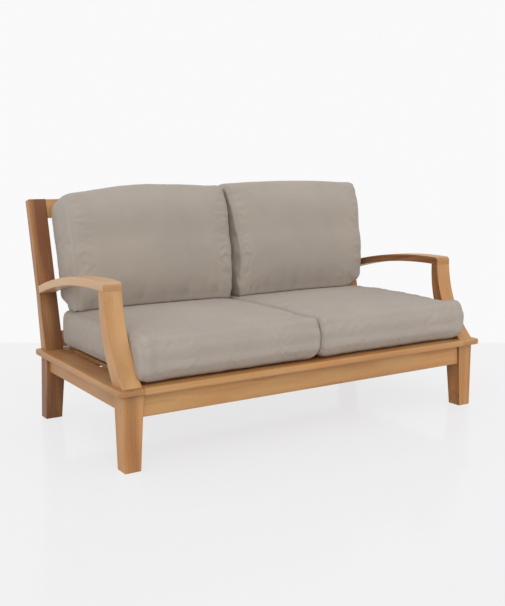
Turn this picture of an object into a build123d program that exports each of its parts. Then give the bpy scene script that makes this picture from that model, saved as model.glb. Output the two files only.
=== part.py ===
from build123d import *
import os
from math import cos, pi, radians, sin

# A two-seat patio sofa: a low oiled-wood frame with two loose seat cushions and two loose
# back cushions. Lengths are in millimetres. +Z is up, the front faces -Y, and left means -X,
# as seen by someone who stands in front of it. The origin is on the ground, in the middle.

# Deck: the flat ring of boards that the uprights stand on
deck_width = 1600
deck_depth = 791
deck_height = 277
deck_thickness = 24
side_board_width = 91
cross_board_width = 95
deck_corner_radius = 12
deck_edge_radius = 8

# Legs: the outer faces are plumb, and the inner faces taper towards the ground
leg_side_setback = 23.5
leg_edge_radius = 2.5
front_leg_setback = 21.5
front_leg_head_width = 72
front_leg_head_depth = 77.5
front_leg_foot_width = 57
front_leg_foot_depth = 60
rear_leg_setback = 3
rear_leg_head_width = 77
rear_leg_head_depth = 60
rear_leg_foot_width = 64
rear_leg_foot_depth = 56
rear_leg_kick = 22

# Aprons: the boards on edge between the legs, with a tenon at each end
apron_thickness = 25
apron_edge_radius = 2
front_apron_height = 77
front_apron_inset = 9
rear_apron_height = 70
rear_apron_inset = 12
side_apron_height = 61
side_apron_inset = 12
tenon_thickness = 10
tenon_length = 35
tenon_shoulder = 8

# Seat: slats that run front to back on three bearers
seat_slat_count = 12
seat_slat_thickness = 12
seat_slat_gap = 28
seat_slat_edge_radius = 2
slat_end_clearance = 2
bearer_thickness = 28
bearer_height = 45
bearer_setback = 12
bearer_tenon_length = 12

# Uprights: arm posts at the front, back stiles at the rear, all of one width
upright_side_setback = 21
upright_width = 70
upright_edge_radius = 3
post_setback = 22
post_foot_depth = 80
post_front_sagitta = 31
post_rear_sagitta = 29
post_head_setback = 163
post_head_depth = 34
stile_setback = 725.5
stile_rake = 13.8
stile_length = 588
stile_foot_depth = 55
stile_head_depth = 35
stile_knee_length = 235
stile_knee_radius = 300

# Armrests: one arched board on each side, from the post to the stile
arm_thickness = 30
arm_front_height = 600
arm_rear_setback = 800
arm_rear_height = 516
arm_sagitta = 28
arm_nose_radius = 15

# Back: two rails between the stiles, and upright slats between the rails
rail_setback = 4
rail_thickness = 26
rail_edge_radius = 2
crest_height = 71
lower_rail_height = 60
lower_rail_lift = 12
back_slat_count = 10
back_slat_width = 76
back_slat_thickness = 12
back_slat_tenon = 14

# Fastenings
deck_dowel_radius = 4
deck_dowel_length = 36
deck_dowel_pitch = 500
deck_dowel_edge = 25
through_dowel_radius = 5
through_dowel_pitch = 15
through_dowel_depth = 32
through_dowel_height = 38
post_dowel_setback = 80
post_dowel_edge = 9
stile_dowel_setback = 772
stile_dowel_edge = 36
arm_dowel_radius = 4
arm_dowel_length = 45
arm_dowel_pitch = 30
arm_dowel_bite = 18
arm_dowel_rise = 9
plug_radius = 5
plug_depth = 8
bolt_radius = 3
bolt_length = 100
bolt_head_radius = 5
bolt_head_height = 4
leg_bolt_rise = 26
screw_radius = 2
screw_length = 32
screw_head_radius = 4
screw_head_height = 2.5

# Cushions: foam slabs in a padded cover, loose on the slats and against the back
cushion_clearance = 0.3
seat_cushion_gap = 2
seat_cushion_play = 1.3
seat_cushion_setback = 26
seat_cushion_depth = 702
seat_cushion_thickness = 150
seat_cushion_crown = 20
seat_cushion_radius = 30
seat_cushion_bulge = 5
seat_cushion_front_bulge = 14
back_cushion_width = 700
back_cushion_gap = 2
back_cushion_lift = 1.95
back_cushion_height = 451
back_cushion_thickness = 158
back_cushion_crown = 18
back_cushion_radius = 40
back_cushion_bulge = 7
back_cushion_front_bulge = 34
back_cushion_shoulder = 14
foam_inset = 34
seat_foam_thickness = 106
back_foam_thickness = 84
foam_lift = 20

# Stations along half of a cushion: shares of the half circle's quarter at its rounded end,
# then shares of the half width, from the end to the middle
end_angle_shares = (0.85, 0.65, 0.42, 0.2, 0)
middle_shares = (0.75, 0.5, 0.25)

# Derived places
half_deck = deck_width / 2
deck_bottom = deck_height - deck_thickness
deck_inner = half_deck - side_board_width
rake = radians(stile_rake)
overall_depth = stile_setback + stile_length * sin(rake) + stile_head_depth * cos(rake)
deck_front = -overall_depth / 2
deck_rear = deck_front + deck_depth
slat_front = deck_front + cross_board_width
slat_rear = deck_rear - cross_board_width
leg_outer = half_deck - leg_side_setback
upright_outer = half_deck - upright_side_setback
upright_inner = upright_outer - upright_width
stile_front = deck_front + stile_setback
slat_bottom = deck_height - seat_slat_thickness
back_plane = Plane((0, stile_front, deck_height), x_dir=(1, 0, 0), z_dir=(0, -cos(rake), sin(rake)))
upward = (0, 0, 1)
sides = (("left", -1), ("right", 1))


def keep(piece, name):
    """Name a finished piece and write it to its own file."""
    piece.part.label = name
    export_step(piece.part, f"parts/{name}.step")


def reach(side, inner, outer):
    """The lower and the higher X of a stretch that lies on one side of the sofa."""
    return (inner, outer) if side > 0 else (-outer, -inner)


def block(low, high, mode=Mode.ADD):
    """Add or cut a box between its lowest and its highest corner."""
    with Locations(low):
        Box(
            high[0] - low[0],
            high[1] - low[1],
            high[2] - low[2],
            align=(Align.MIN, Align.MIN, Align.MIN),
            mode=mode,
        )


def rod(start, direction, radius, length, mode=Mode.ADD):
    """Add or cut a round rod that runs from its start along a direction."""
    with Locations(Plane(start, z_dir=direction).location):
        Cylinder(radius, length, align=(Align.CENTER, Align.CENTER, Align.MIN), mode=mode)


def on_back(across, up, forward):
    """The point at a place on the raked plane of the back."""
    return back_plane.from_local_coords(Vector(across, up, forward))


def lean(start, end, share):
    """The point at a share of the way from one point to another."""
    return (start[0] + (end[0] - start[0]) * share, start[1] + (end[1] - start[1]) * share)


def span(start, end):
    """The distance between two points."""
    return ((end[0] - start[0]) ** 2 + (end[1] - start[1]) ** 2) ** (1 / 2)


def bowed(start, end, bow):
    """The middle of a side, pushed out to its right by a bow."""
    middle = lean(start, end, 1 / 2)
    push = bow / span(start, end)
    return (middle[0] + (end[1] - start[1]) * push, middle[1] - (end[0] - start[0]) * push)


# Aprons' places, which the mortises in the legs share
front_apron_front = deck_front + front_leg_setback + front_apron_inset
front_apron_middle = front_apron_front + apron_thickness / 2
rear_apron_rear = deck_rear - rear_leg_setback - rear_apron_inset
rear_apron_middle = rear_apron_rear - apron_thickness / 2
side_apron_outer = leg_outer - side_apron_inset
side_apron_inner = side_apron_outer - apron_thickness
side_apron_middle = side_apron_outer - apron_thickness / 2
front_tenon_end = leg_outer - front_leg_head_width + tenon_length
rear_tenon_end = leg_outer - rear_leg_head_width + tenon_length
side_tenon_front = deck_front + front_leg_setback + front_leg_head_depth - tenon_length
side_tenon_rear = deck_rear - rear_leg_setback - rear_leg_head_depth + tenon_length
half_tenon = tenon_thickness / 2

# Bearers' places along Y, which the mortises in the side aprons share
bearers = {
    "front": slat_front + bearer_setback + bearer_thickness / 2,
    "middle": (slat_front + slat_rear) / 2,
    "rear": slat_rear - bearer_setback - bearer_thickness / 2,
}

# Bolts through the uprights into the ends of what they clamp: start at the outer face
bolt_places = [
    (leg_outer, front_apron_middle, deck_bottom - front_apron_height + leg_bolt_rise),
]
for height in (lower_rail_lift + lower_rail_height / 2, stile_length - crest_height / 2):
    spot = on_back(upright_outer, height, -rail_setback - rail_thickness / 2)
    bolt_places.append((upright_outer, spot.Y, spot.Z))


def bolt_holes(side):
    """Cut the holes for the bolts of one side, with the pockets for their heads and plugs."""
    for x, y, z in bolt_places:
        inward = (-side, 0, 0)
        rod((side * x, y, z), inward, plug_radius, plug_depth + bolt_head_height, Mode.SUBTRACT)
        rod((side * x, y, z), inward, bolt_radius, plug_depth + bolt_length, Mode.SUBTRACT)


# Dowels through the deck boards, which hold the posts and stiles to the legs
through_places = []
for setback, edge in ((post_dowel_setback, post_dowel_edge), (stile_dowel_setback, stile_dowel_edge)):
    for step in (0, through_dowel_pitch):
        x = upright_inner + edge + step
        through_places.append((x, deck_front + setback, deck_bottom - through_dowel_depth))
through_dowel_length = through_dowel_depth + deck_thickness + through_dowel_height


def through_holes(side):
    """Cut the holes for the dowels between the uprights, the deck and the legs."""
    for x, y, z in through_places:
        rod((side * x, y, z), upward, through_dowel_radius, through_dowel_length, Mode.SUBTRACT)


# Small dowels: upright ones between the aprons and the deck, level ones between the boards
apron_dowels = []
for x in (-deck_dowel_pitch, 0, deck_dowel_pitch):
    for y in (front_apron_middle, rear_apron_middle):
        apron_dowels.append((x, y, deck_bottom - deck_dowel_length / 2))
for x in (-side_apron_middle, side_apron_middle):
    for y in (bearers["middle"] - deck_dowel_pitch / 3, bearers["middle"] + deck_dowel_pitch / 3):
        apron_dowels.append((x, y, deck_bottom - deck_dowel_length / 2))
board_dowels = []
for x in (-deck_inner, deck_inner):
    for y in (deck_front, slat_rear):
        for step in (deck_dowel_edge, cross_board_width - deck_dowel_edge):
            board_dowels.append((x - deck_dowel_length / 2, y + step, deck_bottom + deck_thickness / 2))


def deck_holes():
    """Cut the holes for the small dowels of the deck."""
    for start in apron_dowels:
        rod(start, upward, deck_dowel_radius, deck_dowel_length, Mode.SUBTRACT)
    for start in board_dowels:
        rod(start, (1, 0, 0), deck_dowel_radius, deck_dowel_length, Mode.SUBTRACT)


# Dowels of the armrests: upright ones into the post, level ones into the stile
arm_dowels = []
post_head_middle = deck_front + post_head_setback + post_head_depth / 2
arm_joint_front = arm_front_height - arm_thickness + arm_dowel_bite - arm_dowel_length
arm_joint_rear = arm_rear_height - arm_thickness / 2 + arm_dowel_rise
arm_joint_depth = (arm_joint_rear - deck_height) * sin(rake) / cos(rake) + arm_dowel_bite
upright_middle = upright_inner + upright_width / 2
for x in (upright_middle - arm_dowel_pitch / 2, upright_middle + arm_dowel_pitch / 2):
    arm_dowels.append(((x, post_head_middle, arm_joint_front), upward))
    arm_dowels.append(((x, stile_front + arm_joint_depth - arm_dowel_length, arm_joint_rear), (0, 1, 0)))


def arm_holes(side):
    """Cut the holes for the dowels of one armrest."""
    for (x, y, z), direction in arm_dowels:
        rod((side * x, y, z), direction, arm_dowel_radius, arm_dowel_length, Mode.SUBTRACT)


os.makedirs("parts", exist_ok=True)

# Front legs, with a mortise for the front apron and one for the side apron
front_apron_bottom = deck_bottom - front_apron_height
side_apron_bottom = deck_bottom - side_apron_height
rear_apron_bottom = deck_bottom - rear_apron_height
legs = {}
for name, side in sides:
    foot_y = deck_front + front_leg_setback + front_leg_foot_depth / 2
    head_y = deck_front + front_leg_setback + front_leg_head_depth / 2
    with BuildPart() as leg:
        with BuildSketch(Plane.XY):
            with Locations((side * (leg_outer - front_leg_foot_width / 2), foot_y)):
                Rectangle(front_leg_foot_width, front_leg_foot_depth)
        with BuildSketch(Plane.XY.offset(deck_bottom)):
            with Locations((side * (leg_outer - front_leg_head_width / 2), head_y)):
                Rectangle(front_leg_head_width, front_leg_head_depth)
        loft(ruled=True)
        fillet(leg.edges().group_by(Axis.Z)[1], leg_edge_radius)
        low, high = reach(side, upright_inner - front_leg_head_width, front_tenon_end)
        block(
            (low, front_apron_middle - half_tenon, front_apron_bottom + tenon_shoulder),
            (high, front_apron_middle + half_tenon, deck_bottom - tenon_shoulder),
            Mode.SUBTRACT,
        )
        low, high = reach(side, side_apron_middle - half_tenon, side_apron_middle + half_tenon)
        block(
            (low, side_tenon_front, side_apron_bottom + tenon_shoulder),
            (high, head_y + front_leg_head_depth, deck_bottom - tenon_shoulder),
            Mode.SUBTRACT,
        )
        bolt_holes(side)
        through_holes(side)
    keep(leg, f"front_{name}_leg")
    legs["front", name] = leg

# Rear legs, which kick back towards the ground
for name, side in sides:
    head_y = deck_rear - rear_leg_setback - rear_leg_head_depth / 2
    foot_y = deck_rear - rear_leg_setback + rear_leg_kick - rear_leg_foot_depth / 2
    with BuildPart() as leg:
        with BuildSketch(Plane.XY):
            with Locations((side * (leg_outer - rear_leg_foot_width / 2), foot_y)):
                Rectangle(rear_leg_foot_width, rear_leg_foot_depth)
        with BuildSketch(Plane.XY.offset(deck_bottom)):
            with Locations((side * (leg_outer - rear_leg_head_width / 2), head_y)):
                Rectangle(rear_leg_head_width, rear_leg_head_depth)
        loft(ruled=True)
        fillet(leg.edges().group_by(Axis.Z)[1], leg_edge_radius)
        low, high = reach(side, upright_inner - rear_leg_head_width, rear_tenon_end)
        block(
            (low, rear_apron_middle - half_tenon, rear_apron_bottom + tenon_shoulder),
            (high, rear_apron_middle + half_tenon, deck_bottom - tenon_shoulder),
            Mode.SUBTRACT,
        )
        low, high = reach(side, side_apron_middle - half_tenon, side_apron_middle + half_tenon)
        block(
            (low, head_y - rear_leg_head_depth, side_apron_bottom + tenon_shoulder),
            (high, side_tenon_rear, deck_bottom - tenon_shoulder),
            Mode.SUBTRACT,
        )
        through_holes(side)
    keep(leg, f"rear_{name}_leg")
    legs["rear", name] = leg

# Front and rear aprons: what the mortised legs leave of a board is its tenons and shoulders
cross_aprons = {
    "front": (front_tenon_end, front_apron_front, front_apron_bottom),
    "rear": (rear_tenon_end, rear_apron_rear - apron_thickness, rear_apron_bottom),
}
for place, (end, near, bottom) in cross_aprons.items():
    with BuildPart() as apron:
        block((-end, near, bottom), (end, near + apron_thickness, deck_bottom))
        fillet(apron.edges().filter_by(Axis.X).group_by(Axis.Z)[0], apron_edge_radius)
        for name, side in sides:
            add(legs[place, name].part, mode=Mode.SUBTRACT)
            if place == "front":
                bolt_holes(side)
        deck_holes()
    keep(apron, f"{place}_apron")

# Side aprons, with a stub mortise for the end of each bearer
side_aprons = {}
for name, side in sides:
    low, high = reach(side, side_apron_inner, side_apron_outer)
    with BuildPart() as apron:
        block((low, side_tenon_front, side_apron_bottom), (high, side_tenon_rear, deck_bottom))
        fillet(apron.edges().filter_by(Axis.Y).group_by(Axis.Z)[0], apron_edge_radius)
        for place in ("front", "rear"):
            add(legs[place, name].part, mode=Mode.SUBTRACT)
        low, high = reach(side, upright_inner, side_apron_inner + bearer_tenon_length)
        for middle in bearers.values():
            block(
                (low, middle - half_tenon, slat_bottom - bearer_height + tenon_shoulder),
                (high, middle + half_tenon, deck_bottom - tenon_shoulder),
                Mode.SUBTRACT,
            )
        deck_holes()
    keep(apron, f"{name}_apron")
    side_aprons[name] = apron

# Deck: side boards run the whole depth, with rounded outer corners and edges
side_boards = {}
for name, side in sides:
    low, high = reach(side, deck_inner, half_deck)
    outer = side * half_deck
    with BuildPart() as board:
        block((low, deck_front, deck_bottom), (high, deck_rear, deck_height))
        uprights = board.edges().filter_by(Axis.Z).sort_by(Axis.X)
        fillet(uprights[:2] if side < 0 else uprights[2:], deck_corner_radius)
        rims = board.faces().filter_by(Axis.Z).edges().sort_by(Axis.X)
        fillet(rims[:-2] if side < 0 else rims[2:], deck_edge_radius)
        deck_holes()
        through_holes(side)
    keep(board, f"{name}_deck_board")
    side_boards[name] = board

# Deck: cross boards between the side boards, rounded along the outer edge
for place, near in (("front", deck_front), ("rear", slat_rear)):
    with BuildPart() as board:
        block((-deck_inner, near, deck_bottom), (deck_inner, near + cross_board_width, deck_height))
        rims = board.edges().filter_by(Axis.X).sort_by(Axis.Y)
        fillet(rims[:2] if place == "front" else rims[2:], deck_edge_radius)
        deck_holes()
    keep(board, f"{place}_deck_board")

# Seat slats share the clear width between the side boards
seat_span = 2 * deck_inner
seat_slat_width = (seat_span - (seat_slat_count + 1) * seat_slat_gap) / seat_slat_count
seat_pitch = seat_slat_width + seat_slat_gap
seat_slat_places = [
    (count - (seat_slat_count - 1) / 2) * seat_pitch for count in range(seat_slat_count)
]


def screw_set(mode):
    """Add or cut the countersunk screws that hold the seat slats to the bearers."""
    for x in seat_slat_places:
        for y in bearers.values():
            rod((x, y, deck_height), (0, 0, -1), screw_radius, screw_length, mode)
            with Locations((x, y, deck_height)):
                Cone(
                    screw_radius,
                    screw_head_radius,
                    screw_head_height,
                    align=(Align.CENTER, Align.CENTER, Align.MAX),
                    mode=mode,
                )


for place, middle in bearers.items():
    end = side_apron_inner + bearer_tenon_length
    with BuildPart() as bearer:
        block(
            (-end, middle - bearer_thickness / 2, slat_bottom - bearer_height),
            (end, middle + bearer_thickness / 2, slat_bottom),
        )
        for name, side in sides:
            add(side_boards[name].part, mode=Mode.SUBTRACT)
            add(side_aprons[name].part, mode=Mode.SUBTRACT)
        screw_set(Mode.SUBTRACT)
    keep(bearer, f"{place}_seat_bearer")

for count, middle in enumerate(seat_slat_places):
    with BuildPart() as slat:
        block(
            (middle - seat_slat_width / 2, slat_front + slat_end_clearance, slat_bottom),
            (middle + seat_slat_width / 2, slat_rear - slat_end_clearance, deck_height),
        )
        fillet(slat.edges().filter_by(Axis.Y).group_by(Axis.Z)[-1], seat_slat_edge_radius)
        screw_set(Mode.SUBTRACT)
    keep(slat, f"seat_slat_{count + 1}")

# Side outlines, drawn with Y across and Z up. A stile is raked, square at its head, and
# deepens below its knee to a foot that is almost plumb at the rear.
with BuildSketch() as stile_outline:
    head_front = on_back(0, stile_length, 0)
    head_rear = on_back(0, stile_length, -stile_head_depth)
    knee = on_back(0, stile_knee_length, -stile_head_depth)
    with BuildLine():
        Polyline(
            (stile_front, deck_height),
            (head_front.Y, head_front.Z),
            (head_rear.Y, head_rear.Z),
            (knee.Y, knee.Z),
            (stile_front + stile_foot_depth, deck_height),
            close=True,
        )
    make_face()
    knee_corner = stile_outline.vertices().sort_by_distance(Vector(knee.Y, knee.Z, 0))[0]
    fillet(knee_corner, stile_knee_radius)

# An armrest is an arch of even thickness with a rounded nose. Its tail runs on into the stile,
# which then cuts it off.
with BuildSketch() as arm_outline:
    nose_top = (deck_front + post_head_setback, arm_front_height)
    tail_top = (deck_front + arm_rear_setback, arm_rear_height)
    nose_bottom = (nose_top[0], nose_top[1] - arm_thickness)
    tail_bottom = (tail_top[0], tail_top[1] - arm_thickness)
    with BuildLine():
        Bezier(nose_top, bowed(tail_top, nose_top, 2 * arm_sagitta), tail_top)
        Line(tail_top, tail_bottom)
        Bezier(tail_bottom, bowed(tail_bottom, nose_bottom, 2 * arm_sagitta), nose_bottom)
        Line(nose_bottom, nose_top)
    make_face()
    fillet(arm_outline.vertices().sort_by(Axis.Y)[-1], arm_nose_radius)

# An arm post sweeps back from its foot in two curves, and ends under the armrest
with BuildSketch() as post_outline:
    post_foot_front = (deck_front + post_setback, deck_height)
    post_foot_rear = (post_foot_front[0] + post_foot_depth, deck_height)
    post_head_front = (nose_bottom[0], (nose_top[1] + nose_bottom[1]) / 2)
    post_head_rear = (post_head_front[0] + post_head_depth, post_head_front[1])
    with BuildLine():
        front_pull = bowed(post_foot_front, nose_bottom, 2 * post_front_sagitta)
        rear_pull = bowed(post_foot_rear, post_head_rear, 2 * post_rear_sagitta)
        Bezier(post_foot_front, front_pull, nose_bottom)
        Polyline(nose_bottom, post_head_front, post_head_rear)
        Bezier(post_head_rear, rear_pull, post_foot_rear)
        Line(post_foot_rear, post_foot_front)
    make_face()
    add(arm_outline.sketch, mode=Mode.SUBTRACT)

stiles = {}
for name, side in sides:
    low, high = reach(side, upright_inner, upright_outer)
    with BuildPart() as stile:
        with BuildSketch(Plane.YZ.offset(low)):
            add(stile_outline.sketch)
        extrude(amount=upright_width)
        fillet(stile.edges().filter_by(Axis.X, reverse=True).sort_by(Axis.Z)[2:], upright_edge_radius)
        low, high = reach(side, upright_inner - rail_thickness, upright_inner + tenon_length)
        with Locations(back_plane.offset(-rail_setback - rail_thickness / 2).location):
            for bottom, height in (
                (lower_rail_lift, lower_rail_height),
                (stile_length - crest_height, crest_height),
            ):
                with Locations(((low + high) / 2, bottom + height / 2)):
                    Box(high - low, height - 2 * tenon_shoulder, tenon_thickness, mode=Mode.SUBTRACT)
        bolt_holes(side)
        through_holes(side)
        arm_holes(side)
    keep(stile, f"{name}_back_stile")
    stiles[name] = stile

    low, high = reach(side, upright_inner, upright_outer)
    with BuildPart() as armrest:
        with BuildSketch(Plane.YZ.offset(low)):
            add(arm_outline.sketch)
        extrude(amount=upright_width)
        fillet(armrest.edges().filter_by(GeomType.BEZIER), upright_edge_radius)
        with BuildSketch(Plane.YZ.offset(low)):
            add(stile_outline.sketch)
        extrude(amount=upright_width, mode=Mode.SUBTRACT)
        arm_holes(side)
    keep(armrest, f"{name}_armrest")

    with BuildPart() as post:
        with BuildSketch(Plane.YZ.offset(low)):
            add(post_outline.sketch)
        extrude(amount=upright_width)
        curves = post.edges().filter_by(GeomType.BEZIER).sort_by(SortBy.LENGTH)[-4:]
        fillet(curves, upright_edge_radius)
        through_holes(side)
        arm_holes(side)
    keep(post, f"{name}_arm_post")

# Back rails: the mortised stiles leave a rail its tenons, and the slats sit in its edge
rails = {
    "lower_back_rail": (lower_rail_lift, lower_rail_height),
    "crest_rail": (stile_length - crest_height, crest_height),
}
slat_low = lower_rail_lift + lower_rail_height - back_slat_tenon
slat_high = stile_length - crest_height + back_slat_tenon
back_gap = (2 * upright_inner - back_slat_count * back_slat_width) / (back_slat_count + 1)
back_slat_places = [
    (count - (back_slat_count - 1) / 2) * (back_slat_width + back_gap) for count in range(back_slat_count)
]
rail_middle = back_plane.offset(-rail_setback - rail_thickness / 2)
for name, (bottom, height) in rails.items():
    end = upright_inner + tenon_length
    with BuildPart() as rail:
        with Locations(rail_middle.location):
            with Locations((0, bottom + height / 2)):
                Box(2 * end, height, rail_thickness)
        fillet(rail.edges().filter_by(Axis.X), rail_edge_radius)
        for side_name, side in sides:
            add(stiles[side_name].part, mode=Mode.SUBTRACT)
            bolt_holes(side)
        with Locations(rail_middle.location):
            for middle in back_slat_places:
                with Locations((middle, (slat_low + slat_high) / 2)):
                    Box(back_slat_width, slat_high - slat_low, back_slat_thickness, mode=Mode.SUBTRACT)
    keep(rail, name)

for count, middle in enumerate(back_slat_places):
    with BuildPart() as slat:
        with Locations(rail_middle.location):
            with Locations((middle, (slat_low + slat_high) / 2)):
                Box(back_slat_width, slat_high - slat_low, back_slat_thickness)
    keep(slat, f"back_slat_{count + 1}")

# Fastenings, each kind as one group
with BuildPart() as dowels:
    for start in apron_dowels:
        rod(start, upward, deck_dowel_radius, deck_dowel_length)
    for start in board_dowels:
        rod(start, (1, 0, 0), deck_dowel_radius, deck_dowel_length)
keep(dowels, "deck_dowels")

with BuildPart() as dowels:
    for name, side in sides:
        for x, y, z in through_places:
            rod((side * x, y, z), upward, through_dowel_radius, through_dowel_length)
keep(dowels, "upright_dowels")

with BuildPart() as dowels:
    for name, side in sides:
        for (x, y, z), direction in arm_dowels:
            rod((side * x, y, z), direction, arm_dowel_radius, arm_dowel_length)
keep(dowels, "arm_dowels")

with BuildPart() as bolts:
    for name, side in sides:
        for x, y, z in bolt_places:
            seat = (side * (x - plug_depth), y, z)
            rod(seat, (-side, 0, 0), bolt_head_radius, bolt_head_height)
            rod(seat, (-side, 0, 0), bolt_radius, bolt_length)
keep(bolts, "frame_bolts")

with BuildPart() as plugs:
    for name, side in sides:
        for x, y, z in bolt_places:
            rod((side * x, y, z), (-side, 0, 0), plug_radius, plug_depth)
keep(plugs, "bolt_plugs")

with BuildPart() as screws:
    screw_set(Mode.ADD)
keep(screws, "slat_screws")


def pillow_sides(corners, radius, bows):
    """Start, middle and end of each side and corner of a section; a straight side has no middle."""
    pieces = []
    for count, corner in enumerate(corners):
        before = corners[count - 1]
        after = corners[(count + 1) % 4]
        enter = lean(corner, before, radius / span(corner, before))
        leave = lean(corner, after, radius / span(corner, after))
        turn = lean(lean(enter, leave, 1 / 2), corner, 2 ** (1 / 2) - 1)
        pieces.append((enter, turn, leave))
        stop = lean(after, corner, radius / span(corner, after))
        pieces.append((leave, bowed(leave, stop, bows[count]) if bows[count] else None, stop))
    return pieces


def stations(width, radius):
    """Places along a cushion's width: how far along, how far drawn in, and how full it is."""
    half = width / 2
    places = []
    for share in end_angle_shares:
        angle = share * pi / 2
        places.append((half - radius + radius * sin(angle), radius * (1 - cos(angle))))
    for share in middle_shares:
        places.append(((half - radius) * share, 0))
    rows = [(-along, inset) for along, inset in places] + [(0, 0)]
    rows += [(along, inset) for along, inset in reversed(places)]
    return [(along, inset, 1 - (along / half) ** 2) for along, inset in rows]


# Seat cushions: every section runs front to back, and the loft through the sections crowns
# the top, draws in the ends and rounds the corners. A foam slab fills the middle.
seat_cushion_bottom = deck_height + cushion_clearance
seat_cushion_width = upright_inner - seat_cushion_play - seat_cushion_gap / 2
seat_cushion_middle = (seat_cushion_width + seat_cushion_gap) / 2
seat_cushion_front = deck_front + seat_cushion_setback
for name, side in sides:
    middle = side * seat_cushion_middle
    foam_low = (
        middle - seat_cushion_width / 2 + foam_inset,
        seat_cushion_front + foam_inset,
        seat_cushion_bottom + foam_lift,
    )
    foam_high = (
        middle + seat_cushion_width / 2 - foam_inset,
        seat_cushion_front + seat_cushion_depth - foam_inset,
        seat_cushion_bottom + foam_lift + seat_foam_thickness,
    )
    with BuildPart() as cushion:
        for along, inset, fullness in stations(seat_cushion_width, seat_cushion_radius):
            section = Plane(
                (middle + along, seat_cushion_front, seat_cushion_bottom),
                x_dir=(0, 1, 0),
                z_dir=(1, 0, 0),
            )
            low, high = inset, seat_cushion_depth - inset
            bottom, top = inset / 2, seat_cushion_thickness - inset
            corners = ((low, bottom), (high, bottom), (high, top), (low, top))
            bow = seat_cushion_bulge
            bows = (0, bow, bow + seat_cushion_crown * fullness, seat_cushion_front_bulge)
            with BuildSketch(section):
                with BuildLine():
                    for start, turn, stop in pillow_sides(corners, seat_cushion_radius - inset / 2, bows):
                        if turn:
                            ThreePointArc(start, turn, stop)
                        else:
                            Line(start, stop)
                make_face()
        loft(ruled=True)
        block(foam_low, foam_high, Mode.SUBTRACT)
    keep(cushion, f"{name}_seat_cushion")

    with BuildPart() as foam:
        block(foam_low, foam_high)
    keep(foam, f"{name}_seat_foam")

# Back cushions: every section leans on the rails, and its level foot stands on the seat
# cushion's crown, which is an arc from front to back
back_cushion_rear = cushion_clearance - rail_setback
foot_y = stile_front - back_cushion_thickness / 2
crown_run = seat_cushion_depth / 2 - seat_cushion_radius
crown_place = (foot_y - seat_cushion_front - seat_cushion_depth / 2) / crown_run
seat_top = (
    seat_cushion_bottom
    + seat_cushion_thickness
    + (seat_cushion_bulge + seat_cushion_crown) * (1 - crown_place**2)
)
foot_rear = (seat_top + back_cushion_lift - deck_height) / cos(rake)
foot_drop = back_cushion_thickness * sin(rake) / cos(rake)
for name, side in sides:
    middle = side * (back_cushion_width + back_cushion_gap) / 2
    foam_bottom = foot_rear + foam_inset
    foam_length = back_cushion_height - 2 * foam_inset
    with BuildPart() as cushion:
        for along, inset, fullness in stations(back_cushion_width, back_cushion_radius):
            section = Plane(
                on_back(middle + along, foot_rear, back_cushion_rear),
                x_dir=(0, sin(rake), cos(rake)),
                z_dir=(1, 0, 0),
            )
            low = inset
            high = back_cushion_height - inset - back_cushion_shoulder * (1 - fullness)
            rear, front = inset / 2, back_cushion_thickness - inset / 2
            corners = ((low, rear), (high, rear), (high, front), (low - foot_drop, front))
            swell = back_cushion_front_bulge + back_cushion_crown * fullness
            bows = (0, back_cushion_bulge, swell, 0)
            with BuildSketch(section):
                with BuildLine():
                    for start, turn, stop in pillow_sides(corners, back_cushion_radius - inset / 2, bows):
                        if turn:
                            ThreePointArc(start, turn, stop)
                        else:
                            Line(start, stop)
                make_face()
        loft(ruled=True)
        with Locations(back_plane.offset(back_cushion_rear + foam_lift + back_foam_thickness / 2).location):
            with Locations((middle, foam_bottom + foam_length / 2)):
                Box(back_cushion_width - 2 * foam_inset, foam_length, back_foam_thickness, mode=Mode.SUBTRACT)
    keep(cushion, f"{name}_back_cushion")

    with BuildPart() as foam:
        with Locations(back_plane.offset(back_cushion_rear + foam_lift + back_foam_thickness / 2).location):
            with Locations((middle, foam_bottom + foam_length / 2)):
                Box(back_cushion_width - 2 * foam_inset, foam_length, back_foam_thickness)
    keep(foam, f"{name}_back_foam")
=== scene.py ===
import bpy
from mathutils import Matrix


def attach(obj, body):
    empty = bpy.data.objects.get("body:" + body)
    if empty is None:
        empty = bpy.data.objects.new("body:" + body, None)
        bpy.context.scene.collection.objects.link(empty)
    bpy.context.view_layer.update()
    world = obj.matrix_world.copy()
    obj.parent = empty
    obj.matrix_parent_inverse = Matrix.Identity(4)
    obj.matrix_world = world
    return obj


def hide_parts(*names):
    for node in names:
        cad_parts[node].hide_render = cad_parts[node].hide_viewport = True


bl_info = {
    "name": "Patio Loveseat",
    "version": (1, 0, 0),
    "blender": (4, 5, 0),
    "location": "View3D > Sidebar > Loveseat",
    "description": "Finishes a two-seat patio sofa: oiled wood, padded cushions, studio stage",
    "category": "Object",
}

import math

import bmesh
import bpy
import numpy
from bpy.props import FloatProperty, FloatVectorProperty, IntProperty, PointerProperty
from mathutils import Matrix, Vector, noise
from mathutils.bvhtree import BVHTree

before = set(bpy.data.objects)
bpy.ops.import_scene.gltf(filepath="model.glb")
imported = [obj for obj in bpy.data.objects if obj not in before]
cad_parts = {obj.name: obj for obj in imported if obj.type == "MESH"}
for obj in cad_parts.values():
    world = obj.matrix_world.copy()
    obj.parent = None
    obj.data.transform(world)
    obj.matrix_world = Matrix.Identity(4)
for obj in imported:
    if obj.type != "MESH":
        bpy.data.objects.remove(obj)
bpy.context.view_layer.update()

# The back leans by this many degrees, from its foot behind the seats
RAKE_DEGREES = 13.8
BACK_RAKE = math.radians(RAKE_DEGREES)
BACK_FOOT = Vector((0, 0.2756, 0.277))

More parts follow.
